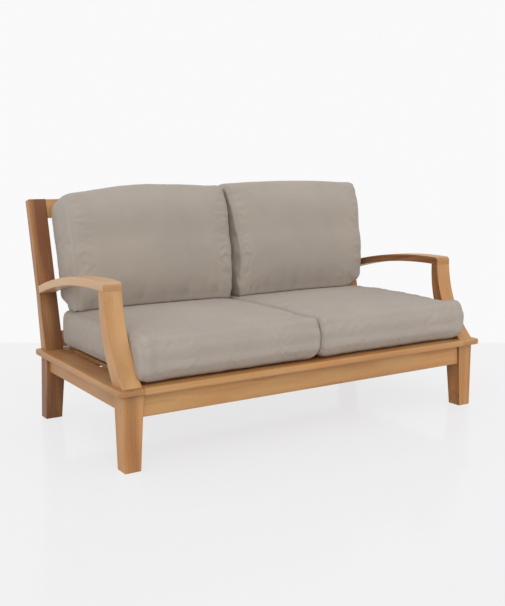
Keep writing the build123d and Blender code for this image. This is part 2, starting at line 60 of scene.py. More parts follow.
# Where a cushion's own axes start and how they are turned: flat for the seats, raked for the backs
FLAT_LEVEL = (numpy.zeros(3), numpy.identity(3))
RAKED_LEVEL = (
    numpy.array(BACK_FOOT),
    numpy.array([[1, 0, 0],
                 [0, math.sin(BACK_RAKE), -math.cos(BACK_RAKE)],
                 [0, math.cos(BACK_RAKE), math.sin(BACK_RAKE)]]),
)

# The camera, as solved from the photo's straight edges: metres and degrees
CAMERA_PLACE = (-1.8636, -2.8705, 0.9698)
CAMERA_TILT = 81.073
CAMERA_TURN = 32.745

# The colours that the camera sees on the backdrop and on the floor
BACKDROP = (0.95, 0.95, 0.955, 1)
FLOOR_SEEN = (0.897, 0.895, 0.899, 1)

# How far behind the sofa's middle the backdrop begins and is full, along the view, in metres
BACKDROP_BEGINS = 1.30
BACKDROP_FULL = 1.34

# Metres between a cushion and what it touches, and between a back cushion's foot and the seat
CLEARANCE = 0.0012
RESTING_GAP = 0.0015

# How far off a neighbour is still looked for
NEIGHBOUR_REACH = 0.03

# Height of a seat cushion's underside, on the slats
SEAT_UNDERSIDE = 0.2774

# The middle of the underside is held: its radius and its height
HELD_RADIUS = 0.2
HELD_HEIGHT = 0.02

# Passes that part the filling's broad swell from its folds, and the share of the folds that shows
SWELL_PASSES = 60
FOLD_SHARE = 0.65

# How far a sewn line lies in from the cover's side, and how wide and deep its groove is
SEAM_INSET = 0.011
SEAM_WIDTH = 0.0055
SEAM_DEPTH = 0.0012

# How far from the side the crumples reach, and how deep the cloth's softness is all over
CRUMPLE_REACH = 0.045
SOFT_DEPTH = 0.0012

# Wooden pieces: the way the grain runs, and by how many degrees it leans from that about X
GRAIN = {
    "front_left_leg": ("Z", 0), "front_right_leg": ("Z", 0),
    "rear_left_leg": ("Z", 0), "rear_right_leg": ("Z", 0),
    "front_apron": ("X", 0), "rear_apron": ("X", 0),
    "left_apron": ("Y", 0), "right_apron": ("Y", 0),
    "front_deck_board": ("X", 0), "rear_deck_board": ("X", 0),
    "left_deck_board": ("Y", 0), "right_deck_board": ("Y", 0),
    "front_seat_bearer": ("X", 0), "middle_seat_bearer": ("X", 0), "rear_seat_bearer": ("X", 0),
    "left_back_stile": ("Z", -RAKE_DEGREES), "right_back_stile": ("Z", -RAKE_DEGREES),
    "left_armrest": ("Y", -7), "right_armrest": ("Y", -7),
    "left_arm_post": ("Z", -22), "right_arm_post": ("Z", -22),
    "lower_back_rail": ("X", 0), "crest_rail": ("X", 0),
}
GRAIN.update({f"seat_slat_{n}": ("Y", 0) for n in range(1, 13)})
GRAIN.update({f"back_slat_{n}": ("Z", -RAKE_DEGREES) for n in range(1, 11)})

# Boards that came darker or lighter than the rest, with painted shade on boards under the deck and
# behind the cushions (the left back stile, the rear left leg, the left deck board) and a painted
# highlight on the left armrest: added to the wood's tone
BOARD_TONES_AND_PAINTED_LIGHT = {
    "left_back_stile": -0.44, "right_back_stile": -0.18,
    "rear_left_leg": -0.34, "rear_right_leg": -0.16, "front_left_leg": 0.05,
    "left_arm_post": 0.12, "right_arm_post": 0.08,
    "left_armrest": 0.16, "right_armrest": 0.02,
    "left_deck_board": -0.20, "front_deck_board": 0.03,
    "left_apron": -0.10, "front_apron": 0.07,
    "crest_rail": 0.05,
}

# Boards with a pale sapwood side: where it begins and where it is full, along X in metres
SAPWOOD = {"left_back_stile": (-0.732, -0.784)}

# Boards whose faces that look left are darkened as painted shade: what is taken off the wood's
# tone there
LEFT_FACE_SHADE = {"front_right_leg": 0.30, "right_arm_post": 0.42, "right_armrest": 0.36}

# Boards made paler as a painted highlight where the sun falls on them, and by how much
SUN_HIGHLIGHT = {"left_armrest": 0.45, "left_arm_post": 0.08}


class LoveseatWood(bpy.types.PropertyGroup):
    """The oiled wood's colours and grain."""

    face: FloatVectorProperty(
        name="Face", description="Colour of the wood between its streaks", subtype="COLOR",
        size=3, min=0, max=1, default=(0.49, 0.244, 0.085))
    pale: FloatVectorProperty(
        name="Pale", description="Colour of the lightest bands of the grain", subtype="COLOR",
        size=3, min=0, max=1, default=(0.62, 0.345, 0.138))
    streak: FloatVectorProperty(
        name="Streak", description="Colour of the dark streaks of the heartwood", subtype="COLOR",
        size=3, min=0, max=1, default=(0.20, 0.078, 0.029))
    highlighted: FloatVectorProperty(
        name="Highlight", description="Colour of wood that the sun has bleached", subtype="COLOR",
        size=3, min=0, max=1, default=(0.62, 0.45, 0.30))
    ring: FloatProperty(
        name="Ring", description="Distance between two growth rings",
        subtype="DISTANCE", unit="LENGTH", min=0.001, max=0.03, default=0.009)
    roughness: FloatProperty(
        name="Roughness", description="Mean roughness of the oiled face", subtype="FACTOR",
        min=0, max=1, default=0.42)


class LoveseatCushions(bpy.types.PropertyGroup):
    """The cushions' cloth and filling."""

    cloth: FloatVectorProperty(
        name="Cloth", description="Colour of the woven cover", subtype="COLOR",
        size=3, min=0, max=1, default=(0.470, 0.407, 0.350))
    thread: FloatVectorProperty(
        name="Thread", description="Colour of the darker threads of the weave", subtype="COLOR",
        size=3, min=0, max=1, default=(0.331, 0.284, 0.242))
    weave: FloatProperty(
        name="Weave", description="Distance between two threads",
        subtype="DISTANCE", unit="LENGTH", min=0.0005, max=0.01, default=0.0022)
    voxel: FloatProperty(
        name="Voxel", description="Size of the remeshed faces before the cloth is filled",
        subtype="DISTANCE", unit="LENGTH", min=0.004, max=0.03, default=0.006)
    slack: FloatProperty(
        name="Slack", description="How much smaller the cover starts on each side",
        subtype="DISTANCE", unit="LENGTH", min=0, max=0.03, default=0.002)
    swell: FloatProperty(
        name="Swell", description="How far the filling may push the cover out",
        subtype="DISTANCE", unit="LENGTH", min=0, max=0.04, default=0.006)
    give: FloatProperty(
        name="Give", description="Share of the filling's swell that the firm foam lets through",
        subtype="FACTOR", min=0, max=1, default=0.25)
    pressure: FloatProperty(
        name="Pressure", description="Pressure of the filling on the cover",
        min=0, max=20, default=4)
    steps: IntProperty(
        name="Steps", description="Frames that the filling takes to settle",
        min=2, max=60, default=20)


class LoveseatStage(bpy.types.PropertyGroup):
    """The floor, the lamps and the camera."""

    floor: FloatVectorProperty(
        name="Floor", description="Colour of the floor", subtype="COLOR",
        size=3, min=0, max=1, default=(0.86, 0.86, 0.865))
    sky: FloatProperty(
        name="Sky", description="Level of the even light from all round",
        min=0, max=5, default=0.78)
    key: FloatProperty(
        name="Key", description="Level of the broad lamp at the front left",
        min=0, max=20, default=0.92)
    window: FloatProperty(
        name="Window", description="Level of the cool light from the left",
        min=0, max=20, default=0.41)
    lens: FloatProperty(
        name="Lens", description="Focal length of the camera in millimetres",
        min=10, max=300, default=51.315)


def new_material(name):
    """A node material that starts with one Principled shader, its nodes and its links."""
    material = bpy.data.materials.new(name)
    material.use_nodes = True
    tree = material.node_tree
    shader = next(node for node in tree.nodes if node.type == "BSDF_PRINCIPLED")
    return material, tree.nodes, tree.links, shader


def set_inputs(node, **values):
    """Sets a node's sockets by name, with _ for a space."""
    for name, value in values.items():
        node.inputs[name.replace("_", " ")].default_value = value
    return node


def ramp(nodes, stops):
    """A colour ramp through (position, colour) stops."""
    node = nodes.new("ShaderNodeValToRGB")
    elements = node.color_ramp.elements
    while len(elements) < len(stops):
        elements.new(0.5)
    for element, (position, colour) in zip(elements, stops):
        element.position = position
        element.color = (*colour, 1)
    return node


def blended(first, second, share):
    """A colour that lies this share of the way from the first to the second."""
    return [(1 - share) * a + share * b for a, b in zip(first, second)]


def mix_colours(nodes, links, factor, first, second, blend="MIX"):
    """Mixes two colours. The factor and each colour are a socket or a constant."""
    node = nodes.new("ShaderNodeMix")
    node.data_type = "RGBA"
    node.blend_type = blend
    node.clamp_factor = True
    # A Mix node has its two colours on sockets 6 and 7
    sockets = (node.inputs["Factor"], node.inputs[6], node.inputs[7])
    for socket, value in zip(sockets, (factor, first, second)):
        if isinstance(value, bpy.types.NodeSocket):
            links.new(value, socket)
        elif isinstance(value, (int, float)):
            socket.default_value = value
        else:
            socket.default_value = (*value, 1)
    return node.outputs[2]


def combine(nodes, links, operation, first, second=None, third=None):
    """One step of arithmetic on sockets or numbers."""
    node = nodes.new("ShaderNodeMath")
    node.operation = operation
    for socket, value in zip(node.inputs, (first, second, third)):
        if isinstance(value, bpy.types.NodeSocket):
            links.new(value, socket)
        elif value is not None:
            socket.default_value = value
    return node.outputs[0]


def waves_per(distance):
    """The scale at which a Wave texture repeats once in this distance."""
    return math.tau / (20 * distance)


def teak(name, along, lean, seed, tone_and_painted_light, look, sapwood=None, heartwood_and_left_shade=0.0, highlighted=0.0):
    """Oiled teak: growth rings cut lengthwise, dark streaks, fine pores and even end grain, with
    painted shade on the faces that look left and a painted highlight where asked.
    """
    material, nodes, links, shader = new_material(name)
    place = nodes.new("ShaderNodeTexCoord")
    # Grain space has the grain along Z, and each board is cut from another part of it
    spin = {"X": (0, math.pi / 2, 0), "Y": (math.pi / 2, 0, 0), "Z": (0, 0, 0)}[along]
    cut = (0.37 * math.sin(seed * 1.7), 0.41 * math.cos(seed * 2.3), 1.3 * seed)
    turn = set_inputs(nodes.new("ShaderNodeMapping"), Location=cut,
                      Rotation=(spin[0] + math.radians(-lean), spin[1], spin[2]))
    links.new(place.outputs["Object"], turn.inputs["Vector"])

    def clouds(across, lengthwise, detail, distortion, roughness):
        """Noise that is tight across the grain and long and calm along it."""
        stretched = set_inputs(nodes.new("ShaderNodeMapping"), Scale=(across, across, lengthwise))
        links.new(turn.outputs["Vector"], stretched.inputs["Vector"])
        node = set_inputs(nodes.new("ShaderNodeTexNoise"), Scale=1.0, Detail=detail,
                          Roughness=roughness, Distortion=distortion)
        links.new(stretched.outputs["Vector"], node.inputs["Vector"])
        return node.outputs["Fac"]

    rings = nodes.new("ShaderNodeTexWave")
    rings.wave_type = "RINGS"
    rings.rings_direction = "Z"
    rings.wave_profile = "SAW"
    set_inputs(rings, Scale=waves_per(look.ring), Distortion=5.5, Detail=2.2, Detail_Scale=0.9,
               Detail_Roughness=0.55)
    bent = set_inputs(nodes.new("ShaderNodeMapping"), Scale=(1, 0.42, 0.045),
                      Location=(0.06 + 0.05 * math.sin(seed * 3.1), 0.03 * math.cos(seed), 0))
    links.new(turn.outputs["Vector"], bent.inputs["Vector"])
    links.new(bent.outputs["Vector"], rings.inputs["Vector"])

    broad = clouds(across=16, lengthwise=1.1, detail=3, distortion=0.6, roughness=0.5)
    fibre = clouds(across=420, lengthwise=9, detail=4, distortion=0, roughness=0.62)
    pores = clouds(across=1500, lengthwise=34, detail=2, distortion=0, roughness=0.7)

    # The tone runs from the dark streaks to the pale bands; the board's tone added here holds
    # painted shade and a painted highlight on some boards
    banding = combine(nodes, links, "MULTIPLY_ADD", broad, 0.95, -0.06 + tone_and_painted_light)
    banding = combine(nodes, links, "MULTIPLY_ADD", rings.outputs["Fac"], 0.12, banding)
    banding = combine(nodes, links, "MULTIPLY_ADD", fibre, 0.18, banding)
    banding = combine(nodes, links, "SUBTRACT", banding, 0.05)
    if sapwood:
        across = nodes.new("ShaderNodeSeparateXYZ")
        links.new(place.outputs["Object"], across.inputs["Vector"])
        # Its edge wanders by 12 mm
        wander = 0.012
        wandering = combine(nodes, links, "MULTIPLY_ADD", broad, wander, across.outputs["X"])
        sap = set_inputs(nodes.new("ShaderNodeMapRange"), From_Min=sapwood[0] + wander / 2,
                         From_Max=sapwood[1] + wander / 2, To_Min=0.0, To_Max=0.34)
        links.new(wandering, sap.inputs["Value"])
        banding = combine(nodes, links, "ADD", banding, sap.outputs["Result"])
    if heartwood_and_left_shade:
        # Painted shade, only on the faces that look left
        side = nodes.new("ShaderNodeSeparateXYZ")
        links.new(place.outputs["Normal"], side.inputs["Vector"])
        left = set_inputs(nodes.new("ShaderNodeMapRange"), From_Min=-0.5, From_Max=-0.9,
                          To_Min=0.0, To_Max=-heartwood_and_left_shade)
        links.new(side.outputs["X"], left.inputs["Value"])
        banding = combine(nodes, links, "ADD", banding, left.outputs["Result"])
    face = ramp(nodes, [(0.10, look.streak), (0.30, blended(look.face, look.streak, 0.45)),
                        (0.50, look.face), (0.80, look.pale)])
    links.new(banding, face.inputs["Fac"])

    pore = ramp(nodes, [(0.30, (1, 1, 1)), (0.42, (0, 0, 0))])
    links.new(pores, pore.inputs["Fac"])
    pore_amount = combine(nodes, links, "MULTIPLY", pore.outputs["Color"], 0.22)
    colour = mix_colours(nodes, links, pore_amount, face.outputs["Color"], look.streak)

    # Redder and yellower areas that drift slowly over a board
    drift = set_inputs(nodes.new("ShaderNodeTexNoise"), Scale=5.0, Detail=2.0)
    links.new(turn.outputs["Vector"], drift.inputs["Vector"])
    hue = ramp(nodes, [(0.32, (1.0, 0.86, 0.78)), (0.66, (1.0, 1.04, 1.06))])
    links.new(drift.outputs["Fac"], hue.inputs["Fac"])
    colour = mix_colours(nodes, links, 0.8, colour, hue.outputs["Color"], "MULTIPLY")

    # A painted highlight: the board is mixed towards a paler colour
    if highlighted:
        colour = mix_colours(nodes, links, highlighted, colour, look.highlighted)

    # End grain is evener than the faces, and a little darker than their mean
    axis = {"X": (1, 0, 0), "Y": (0, 1, 0), "Z": (0, 0, 1)}[along]
    facing = nodes.new("ShaderNodeVectorMath")
    facing.operation = "DOT_PRODUCT"
    facing.inputs[1].default_value = Matrix.Rotation(math.radians(lean), 3, "X") @ Vector(axis)
    links.new(place.outputs["Normal"], facing.inputs[0])
    ends = ramp(nodes, [(0.78, (0, 0, 0)), (0.97, (1, 1, 1))])
    links.new(combine(nodes, links, "ABSOLUTE", facing.outputs["Value"]), ends.inputs["Fac"])
    end_amount = combine(nodes, links, "MULTIPLY", ends.outputs["Color"], 0.65)
    colour = mix_colours(nodes, links, end_amount, colour, blended(look.face, look.streak, 0.12))
    links.new(colour, shader.inputs["Base Color"])

    gloss = set_inputs(nodes.new("ShaderNodeMapRange"), From_Min=0.3, From_Max=0.7,
                       To_Min=look.roughness - 0.07, To_Max=look.roughness + 0.10)
    links.new(fibre, gloss.inputs["Value"])
    links.new(gloss.outputs["Result"], shader.inputs["Roughness"])
    set_inputs(shader, Specular_IOR_Level=0.42, Coat_Weight=0.10, Coat_Roughness=0.34)

    relief = combine(nodes, links, "MULTIPLY_ADD", pore.outputs["Color"], -0.6, fibre)
    bump = set_inputs(nodes.new("ShaderNodeBump"), Strength=0.16, Distance=0.0006)
    links.new(relief, bump.inputs["Height"])
    links.new(bump.outputs["Normal"], shader.inputs["Normal"])
    return material


def brushed_steel():
    """Stainless screws and bolts, drawn and lightly brushed."""
    material, nodes, links, shader = new_material("stainless_drawn")
    place = nodes.new("ShaderNodeTexCoord")
    drawn = set_inputs(nodes.new("ShaderNodeMapping"), Scale=(60, 900, 900))
    links.new(place.outputs["Object"], drawn.inputs["Vector"])
    lines = set_inputs(nodes.new("ShaderNodeTexNoise"), Scale=1.0, Detail=3.0)
    links.new(drawn.outputs["Vector"], lines.inputs["Vector"])
    tint = ramp(nodes, [(0.3, (0.42, 0.42, 0.43)), (0.7, (0.60, 0.60, 0.61))])
    links.new(lines.outputs["Fac"], tint.inputs["Fac"])
    links.new(tint.outputs["Color"], shader.inputs["Base Color"])
    rough = set_inputs(nodes.new("ShaderNodeMapRange"), To_Min=0.22, To_Max=0.42)
    links.new(lines.outputs["Fac"], rough.inputs["Value"])
    links.new(rough.outputs["Result"], shader.inputs["Roughness"])
    set_inputs(shader, Metallic=1.0)
    bump = set_inputs(nodes.new("ShaderNodeBump"), Strength=0.1, Distance=0.0002)
    links.new(lines.outputs["Fac"], bump.inputs["Height"])
    links.new(bump.outputs["Normal"], shader.inputs["Normal"])
    return material


def woven_cover(name, look, tilt):
    """Woven outdoor cloth: crossed threads, heather, soft wear, and sewn lines darkened as painted
    shade in their grooves.
    """
    material, nodes, links, shader = new_material(name)
    place = nodes.new("ShaderNodeTexCoord")
    level = set_inputs(nodes.new("ShaderNodeMapping"), Rotation=(tilt, 0, 0))
    links.new(place.outputs["Object"], level.inputs["Vector"])
    upright = set_inputs(nodes.new("ShaderNodeMapping"), Rotation=(tilt, 0, 0))
    upright.vector_type = "NORMAL"
    links.new(place.outputs["Normal"], upright.inputs["Vector"])
    facing = nodes.new("ShaderNodeSeparateXYZ")
    links.new(upright.outputs["Vector"], facing.inputs["Vector"])
    # Threads lie along a face, so each set fades out where the face looks along it
    strands = []
    for direction in "XYZ":
        wave = nodes.new("ShaderNodeTexWave")
        wave.wave_type = "BANDS"
        wave.bands_direction = direction
        set_inputs(wave, Scale=waves_per(look.weave), Distortion=0.9, Detail=1.5, Detail_Scale=3.0)
        links.new(level.outputs["Vector"], wave.inputs["Vector"])
        along = combine(nodes, links, "ABSOLUTE", facing.outputs[direction])
        share = combine(nodes, links, "SUBTRACT", 1.0, combine(nodes, links, "POWER", along, 1.5))
        strands.append(combine(nodes, links, "MULTIPLY", wave.outputs["Fac"], share))
    crossed = combine(nodes, links, "ADD", strands[0], strands[1])
    crossed = combine(nodes, links, "ADD", crossed, strands[2])
    crossed = combine(nodes, links, "DIVIDE", crossed, 2.0)

    heather = set_inputs(nodes.new("ShaderNodeTexNoise"), Scale=520.0, Detail=3.0, Roughness=0.6)
    links.new(level.outputs["Vector"], heather.inputs["Vector"])
    wear = set_inputs(nodes.new("ShaderNodeTexNoise"), Scale=5.5, Detail=4.0, Roughness=0.55)
    links.new(level.outputs["Vector"], wear.inputs["Vector"])

    amount = combine(nodes, links, "MULTIPLY_ADD", crossed, 0.55, -0.16)
    amount = combine(nodes, links, "MULTIPLY_ADD", heather.outputs["Fac"], 0.6, amount)
    threads = ramp(nodes, [(0.18, look.cloth), (0.85, look.thread)])
    links.new(amount, threads.inputs["Fac"])
    patches = ramp(nodes, [(0.30, (0.92, 0.93, 0.95)), (0.70, (1.05, 1.04, 1.02))])
    links.new(wear.outputs["Fac"], patches.inputs["Fac"])
    colour = mix_colours(nodes, links, 0.7, threads.outputs["Color"], patches.outputs["Color"],
                         "MULTIPLY")
    # The sewn lines are darkened as painted shade in their grooves
    sewn = nodes.new("ShaderNodeAttribute")
    sewn.attribute_name = "seam"
    shade = combine(nodes, links, "MULTIPLY", sewn.outputs["Fac"], 0.20)
    colour = mix_colours(nodes, links, shade, colour, [0.5 * c for c in look.thread])
    links.new(colour, shader.inputs["Base Color"])

    rough = set_inputs(nodes.new("ShaderNodeMapRange"), To_Min=0.80, To_Max=0.95)
    links.new(heather.outputs["Fac"], rough.inputs["Value"])
    links.new(rough.outputs["Result"], shader.inputs["Roughness"])
    set_inputs(shader, Specular_IOR_Level=0.2, Sheen_Weight=0.12, Sheen_Roughness=0.5)
    height = combine(nodes, links, "MULTIPLY_ADD", heather.outputs["Fac"], 0.7, crossed)
    bump = set_inputs(nodes.new("ShaderNodeBump"), Strength=0.35, Distance=0.0007)
    links.new(height, bump.inputs["Height"])
    links.new(bump.outputs["Normal"], shader.inputs["Normal"])
    return material


def assign(node, material):
    """Gives a CAD node's object one material, over its slots."""
    node.data.materials.clear()
    node.data.materials.append(material)


def outer_shell(node):
    """The CAD cushion's outside as a mesh, without the room for its foam."""
    shape = bmesh.new()
    shape.from_mesh(node.data)
    bmesh.ops.remove_doubles(shape, verts=shape.verts, dist=0.00002)
    # Its vertices in groups that hang together
    waiting = set(shape.verts)
    shells = []
    while waiting:
        found = {waiting.pop()}
        rim = list(found)
        while rim:
            near = {v for e in rim.pop().link_edges for v in e.verts} - found
            found |= near
            rim.extend(near)
        waiting -= found
        shells.append(found)

    def reach(shell):
        return max(v.co.x for v in shell) - min(v.co.x for v in shell)

    widest = max(shells, key=reach)
    bmesh.ops.delete(shape, geom=[v for v in shape.verts if v not in widest], context="VERTS")
    mesh = bpy.data.meshes.new(node.name + "_shell")
    shape.to_mesh(mesh)
    shape.free()
    return mesh


def read_vectors(items, key):
    """A vector of each item of a mesh's collection, as an array of rows."""
    flat = numpy.empty(len(items) * 3)
    items.foreach_get(key, flat)
    return flat.reshape(-1, 3)


def places(mesh):
    """A mesh's vertex places as an array."""
    return read_vectors(mesh.vertices, "co")


def normals(mesh):
    """A mesh's vertex normals as an array."""
    return read_vectors(mesh.vertex_normals, "vector")


def put(mesh, points):
    """Writes vertex places back."""
    mesh.vertices.foreach_set("co", numpy.ascontiguousarray(points).ravel())
    mesh.update()


def worked_out(piece):
    """A new mesh of what a piece's modifiers make of it."""
    graph = bpy.context.evaluated_depsgraph_get()
    return bpy.data.meshes.new_from_object(piece.evaluated_get(graph), depsgraph=graph)


def applied(piece):
    """Replaces a piece's mesh by what its modifiers make of it."""
    mesh = worked_out(piece)
    old = piece.data
    piece.modifiers.clear()
    piece.data = mesh
    bpy.data.meshes.remove(old)


def tree_of(objects):
    """A search tree over several objects' shown surfaces, in world space."""
    points, faces = [], []
    for thing in objects:
        start = len(points)
        points += [thing.matrix_world @ v.co for v in thing.data.vertices]
        faces += [[start + n for n in face.vertices] for face in thing.data.polygons]
    return BVHTree.FromPolygons(points, faces)


def pushed_clear(points, tree, reach, gap):
    """Moves the places that are in or too near a neighbour out to the gap."""
    out = points.copy()
    for n, point in enumerate(points):
        near, normal, _, far = tree.find_nearest(Vector(point), reach)
        if near is None:
            continue
        depth = (Vector(point) - near).dot(normal)
        if depth < 0 and far > 1e-6:
            out[n] = near + normal * gap
        elif depth < gap:
            out[n] = Vector(point) + normal * (gap - depth)
    return out


def let_down(points, out, tree, reach, gap, share):
    """Lets the foot of a cushion down onto what carries it, less towards its rounded rim."""
    lower = points.copy()
    weight = smooth_step(0.30, 0.75, -out[:, 2]) * share
    for n in numpy.nonzero(weight > 0)[0]:
        place, _, _, fall = tree.ray_cast(Vector(points[n]), Vector((0, 0, -1)), reach)
        if place is not None and fall > gap:
            lower[n, 2] -= (fall - gap) * weight[n]
    return lower


def smooth_step(low, high, value):
    """From 0 at low to 1 at high, with soft ends."""
    share = numpy.clip((value - low) / (high - low), 0, 1)
    return share * share * (3 - 2 * share)


def bell(distance, width):
    """From 1 at no distance down to 0 well past the width."""
    return numpy.exp(-((distance / width) ** 2))


def edge(out, first, second):
    """How near places are to the edge between two faces, by their normals: 0 to 1."""
    return numpy.clip(2 * numpy.abs(out[:, first] * out[:, second]), 0, 1) ** 1.5


def smoothed(values, mesh, passes):
    """Values on a mesh's vertices, evened out along its edges."""
    ends = numpy.empty(len(mesh.edges) * 2, dtype=int)
    mesh.edges.foreach_get("vertices", ends)
    ends = ends.reshape(-1, 2)
    count = len(mesh.vertices)
    degree = numpy.maximum(numpy.bincount(ends.ravel(), minlength=count), 1)
    for _ in range(passes):
        values = numpy.stack([
            (numpy.bincount(ends[:, 0], column[ends[:, 1]], count)
             + numpy.bincount(ends[:, 1], column[ends[:, 0]], count)) / degree
            for column in values.T], axis=1)
    return values


def capped(moves, cap):
    """Moves that level off softly towards a cap."""
    travel = numpy.maximum(numpy.linalg.norm(moves, axis=1, keepdims=True), 1e-9)
    return moves * (cap * numpy.tanh(travel / cap) / travel)


class Cushion:
    """One cushion on its way from the CAD solid to the sewn and filled cover."""

    def __init__(self, name, side, level, look):
        self.name, self.side, self.look = name, side, look
        self.body = name.replace("_cushion", "")
        # Seat cushions are boxed at their edges: their seams show more and crumple less
        self.boxed = "seat" in name
        self.sewn = 0.8 if self.boxed else 0.35
        self.crumple_depth = 0.0009 if self.boxed else 0.0014
        # Local axes: X along the width, Y up the back or the seat's depth, Z out of the face
        self.level = level
        mesh = outer_shell(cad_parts[name])
        self.piece = bpy.data.objects.new(name.replace("cushion", "cover"), mesh)
        bpy.context.scene.collection.objects.link(self.piece)
        local = self.local(places(mesh))
        self.low, self.high = local.min(axis=0), local.max(axis=0)
        self.middle = (self.low + self.high) / 2
        self.half = (self.high - self.low) / 2

    def local(self, points):
        """Places in the cushion's own axes."""
        return (points - self.level[0]) @ self.level[1]

    def world(self, points):
        """Places in its own axes, back in the shared frame."""
        return points @ self.level[1].T + self.level[0]

    def remesh(self):
        """An even mesh of the shell, drawn in by the slack."""
        mesh = self.piece.data
        local = self.local(places(mesh))
        share = (self.half - self.look.slack) / self.half
        put(mesh, self.world((local - self.middle) * share + self.middle))
        grid = self.piece.modifiers.new("even_mesh", "REMESH")
        grid.mode = "VOXEL"
        grid.voxel_size = self.look.voxel
        applied(self.piece)
        # The cloth bridges the foam's creases: it is evened out, then let out again to its size
        mesh = self.piece.data
        local = self.local(places(mesh))
        passes, let_out = (6, 0.85) if self.boxed else (9, 0.70)
        for share in (1, -let_out):
            local += (smoothed(local, mesh, passes) - local) * share
        put(mesh, self.world(local))
        self.start = local
        # The side panels are sewn in round two loops, and this is each place's nearness to them
        line = self.half[0] - self.look.slack - SEAM_INSET
        self.seam = bell(numpy.abs(local[:, 0] - self.middle[0]) - line, SEAM_WIDTH)

    def fill(self):
        """Adds the cloth that the filling swells."""
        piece = self.piece
        held = piece.vertex_groups.new(name="held")
        shrunk = piece.vertex_groups.new(name="sewn")
        # The middle of the underside stays where it is
        centre = numpy.hypot(self.start[:, 0] - self.middle[0], self.start[:, 1] - self.middle[1])
        underside = self.start[:, 2] < self.low[2] + HELD_HEIGHT
        for n in numpy.nonzero(underside & (centre < HELD_RADIUS))[0]:
            held.add([int(n)], 1.0, "REPLACE")
        for n in numpy.nonzero(self.seam > 0.05)[0]:
            shrunk.add([int(n)], float(self.seam[n]), "REPLACE")
        cloth = piece.modifiers.new("filling", "CLOTH")
        values = cloth.settings
        values.quality = 4
        values.mass = 0.25
        values.tension_stiffness = 30
        values.compression_stiffness = 30
        values.shear_stiffness = 12
        values.bending_stiffness = 0.4
        values.air_damping = 2
        values.use_pressure = True
        values.uniform_pressure_force = self.look.pressure
        values.effector_weights.gravity = 0
        values.vertex_group_mass = "held"
        values.vertex_group_shrink = "sewn"
        values.shrink_min = 0.0
        values.shrink_max = 0.025
        cloth.collision_settings.use_collision = False
        cloth.collision_settings.use_self_collision = False
        cloth.point_cache.frame_start = 1
        cloth.point_cache.frame_end = self.look.steps

    def settle(self):
        """Lays shares of the cloth's folds and swell, each capped, on the firm foam's form."""
        filled = worked_out(self.piece)
        moved = self.local(places(filled)) - self.start
        swell = smoothed(moved, filled, SWELL_PASSES)
        folds = capped(moved - swell, self.look.swell)
        moved = folds * FOLD_SHARE + capped(swell, self.look.swell) * self.look.give
        self.piece.modifiers.clear()
        put(self.piece.data, self.world(self.start + moved))
        bpy.data.meshes.remove(filled)

    def sew(self, gathers):
        """Draws the seams in, lays gathers beside them and softens the cover."""
        mesh = self.piece.data
        points, out = places(mesh), normals(mesh)
        start = self.start

        def rumpled(scale, offset):
            """Noise at each place, with a scale for each of the cushion's axes."""
            across, along, out_of = scale
            return numpy.array([
                noise.noise(Vector((p[0] * across, p[1] * along, p[2] * out_of)) + Vector(offset))
                for p in start])

        end = self.half[0] - self.look.slack
        beside = bell(end - numpy.abs(start[:, 0] - self.middle[0]), CRUMPLE_REACH)
        crumple = rumpled((9, 26, 26), (self.side * 7, 3, 1))
        fold = rumpled((30, 7, 11), (self.side * 5, 8, 2))
        soft = numpy.array([
            noise.fractal(Vector(p * 7) + Vector((self.side * 3, 0, 5)), 1.0, 2.0, 3)
            for p in start])
        height = self.crumple_depth * beside * crumple + SOFT_DEPTH * soft
        height -= SEAM_DEPTH * self.sewn * self.seam
        shaped, moves = gathers(self, start, fold, out @ self.level[1])
        local = self.local(points + out * (height + shaped)[:, None]) + moves
        put(mesh, self.world(local))

    def finish(self, neighbours, limits, material, fill):
        """Keeps the cover clear of its neighbours, subdivides it and hands it over."""
        mesh = self.piece.data
        tree = tree_of(neighbours)
        points = places(mesh)
        if not self.boxed:
            # The right back cushion's outer corner stays up
            outward = (self.start[:, 0] - self.middle[0]) * max(self.side, 0)
            share = 1 - smooth_step(self.half[0] - 0.10, self.half[0] - 0.04, outward)
            points = let_down(points, normals(mesh), tree, NEIGHBOUR_REACH, RESTING_GAP, share)
        for _ in range(2):
            points = pushed_clear(points, tree, NEIGHBOUR_REACH, CLEARANCE)
            for axis, bound, sign in limits:
                beyond = (points[:, axis] - bound) * sign
                points[:, axis] = numpy.where(beyond > 0, bound, points[:, axis])
        put(mesh, points)
        line = mesh.attributes.new("seam", "FLOAT", "POINT")
        line.data.foreach_set("value", (self.seam * self.sewn).astype("f"))
        mesh.materials.clear()
        mesh.materials.append(material)
        mesh.polygons.foreach_set("use_smooth", [True] * len(mesh.polygons))
        finer = self.piece.modifiers.new("finer", "SUBSURF")
        finer.levels = finer.render_levels = 1
        applied(self.piece)
        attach(self.piece, self.body)
        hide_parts(self.name, self.name.replace("cushion", "foam"))


def step_through(steps):
    """Runs the frames that fill the cushions, side by side."""
    scene = bpy.context.scene
    scene.frame_start, scene.frame_end = 1, steps
    for number in range(1, steps + 1):
        scene.frame_set(number)


# What the seat cushions' covers gain, in metres
SEAT_CORNER = 0.013
SEAT_FRONT_EDGE = 0.016
SEAT_SIDE_EDGE = 0.011
SEAT_FRONT_FOOT = 0.008
SEAT_EDGE_CAP = 0.018
SEAT_RIM_LIFT = 0.010
SEAT_FOLDS = 0.002
PAST_THE_POST = 0.011

# What the back cushions' covers gain, in metres
BACK_EDGE = 0.009
BACK_REAR_EDGE = 0.007
BACK_INNER_EDGE = 0.007
BACK_FOLDS = 0.0065
HEAD_FORWARD = 0.044
HEAD_FULLER = {-1: -0.0035, 1: 0.0045}
INNER_TUCK = 0.040
OUTER_REACH = 0.008
OUTER_FOOT_LIFT = 0.016
OUTER_SLUMP = 0.023


